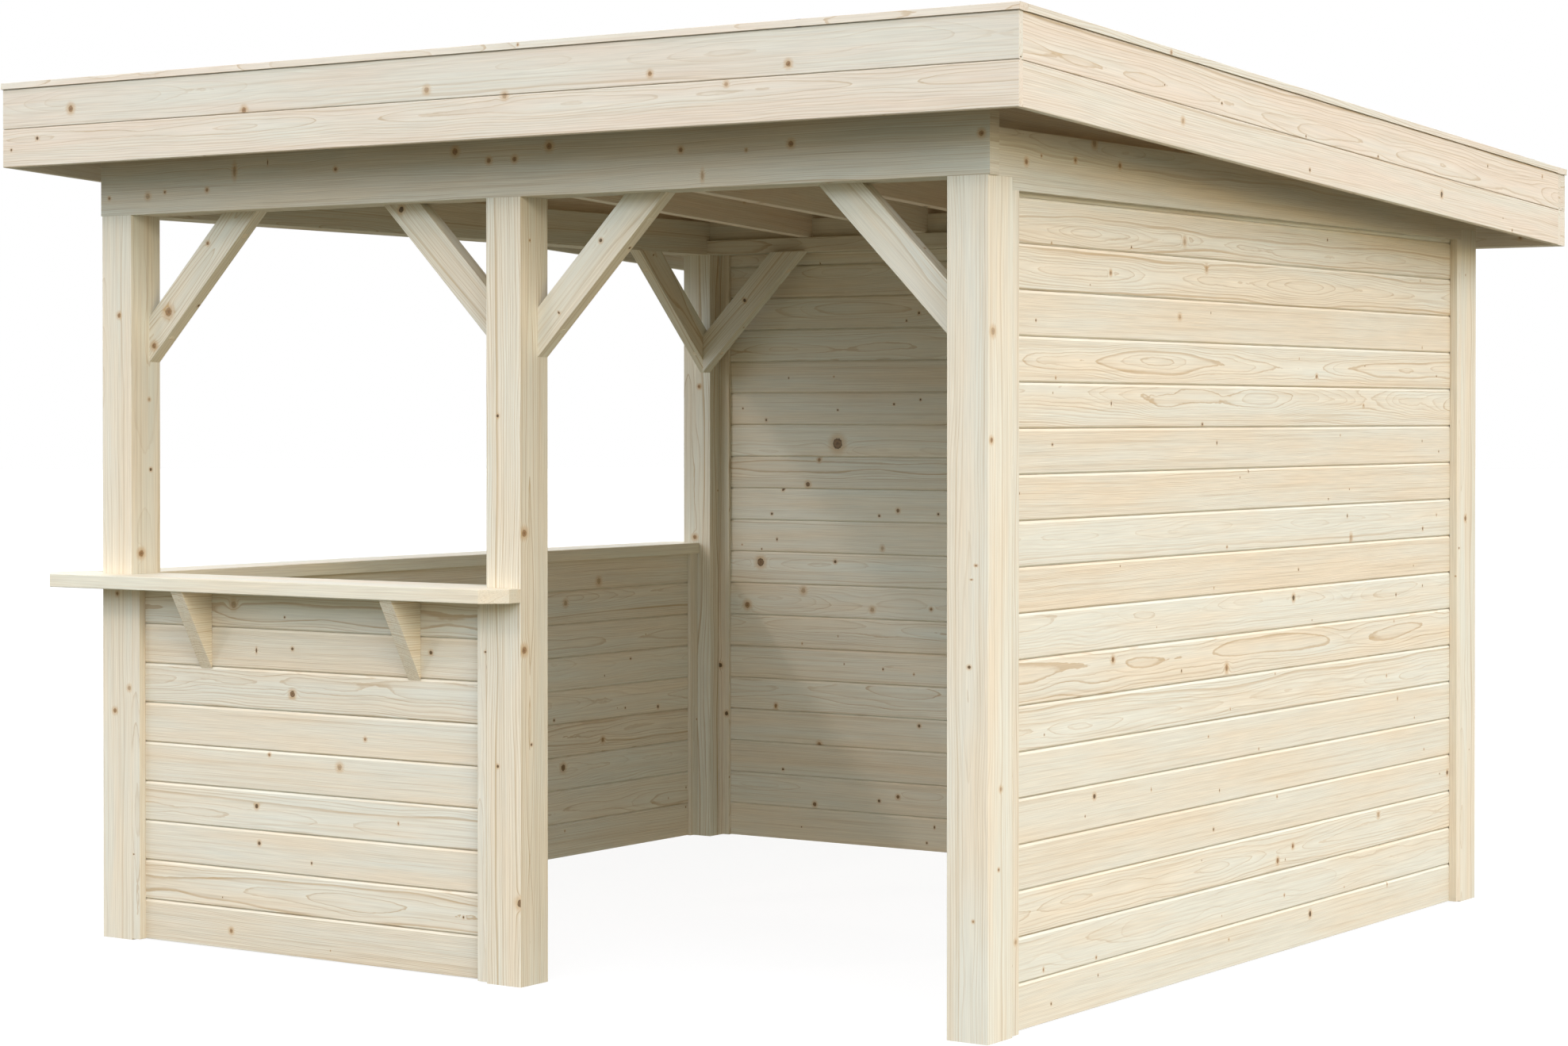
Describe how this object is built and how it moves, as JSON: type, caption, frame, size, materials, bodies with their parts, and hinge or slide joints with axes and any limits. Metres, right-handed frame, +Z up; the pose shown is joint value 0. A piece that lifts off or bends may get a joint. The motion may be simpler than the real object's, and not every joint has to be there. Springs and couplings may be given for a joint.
{
  "type": "wooden gazebo",
  "caption": "Square timber garden gazebo with a gently sloping roof, boarded walls, a half wall, and a bar counter beside the open way in.",
  "frame": {"origin": "centre of the ground rectangle under the roof, on the ground", "axes": "+X to the right, +Y from the open front (high side of the roof) to the back wall, +Z up"},
  "size_m": [3.5, 3.538, 2.5497],
  "materials": {
    "post_wood": "planed",
    "beam_wood": "planed",
    "rafter_wood": "planed",
    "deck_wood": "planed",
    "fascia_wood": "planed",
    "board_wood": "planed",
    "counter_wood": "planed",
    "brace_wood": "planed"
  },
  "bodies": {
    "root": {"post_front_left": "post_wood", "post_front_middle": "post_wood", "post_front_right": "post_wood", "post_back_left": "post_wood", "post_back_right": "post_wood", "front_header": "beam_wood", "front_beam": "beam_wood", "left_beam": "beam_wood", "right_beam": "beam_wood", "back_beam": "beam_wood", "back_ledger": "beam_wood", "wall_top_strips": "beam_wood", "rafters": "rafter_wood", "edge_rafters": "rafter_wood", "roof_deck": "deck_wood", "fascia_front": "fascia_wood", "fascia_left": "fascia_wood", "fascia_right": "fascia_wood", "fascia_back": "fascia_wood", "fascia_back_outer": "fascia_wood", "roof_trim_front": "fascia_wood", "roof_trim_back": "fascia_wood", "roof_trim_left": "fascia_wood", "roof_trim_right": "fascia_wood", "right_wall": "board_wood", "back_wall": "board_wood", "left_half_wall": "board_wood", "front_half_wall": "board_wood", "right_wall_battens": "board_wood", "back_wall_battens": "board_wood", "left_wall_battens": "board_wood", "front_wall_battens": "board_wood", "counter_top": "counter_wood", "left_wall_rail": "counter_wood", "counter_brackets": "brace_wood", "brace_front_left": "brace_wood", "brace_front_middle_left": "brace_wood", "brace_front_middle_right": "brace_wood", "brace_front_right": "brace_wood", "brace_back_left": "brace_wood", "brace_back_right": "brace_wood", "brace_left_back": "brace_wood", "brace_right_back": "brace_wood"}
  },
  "joints": []
}
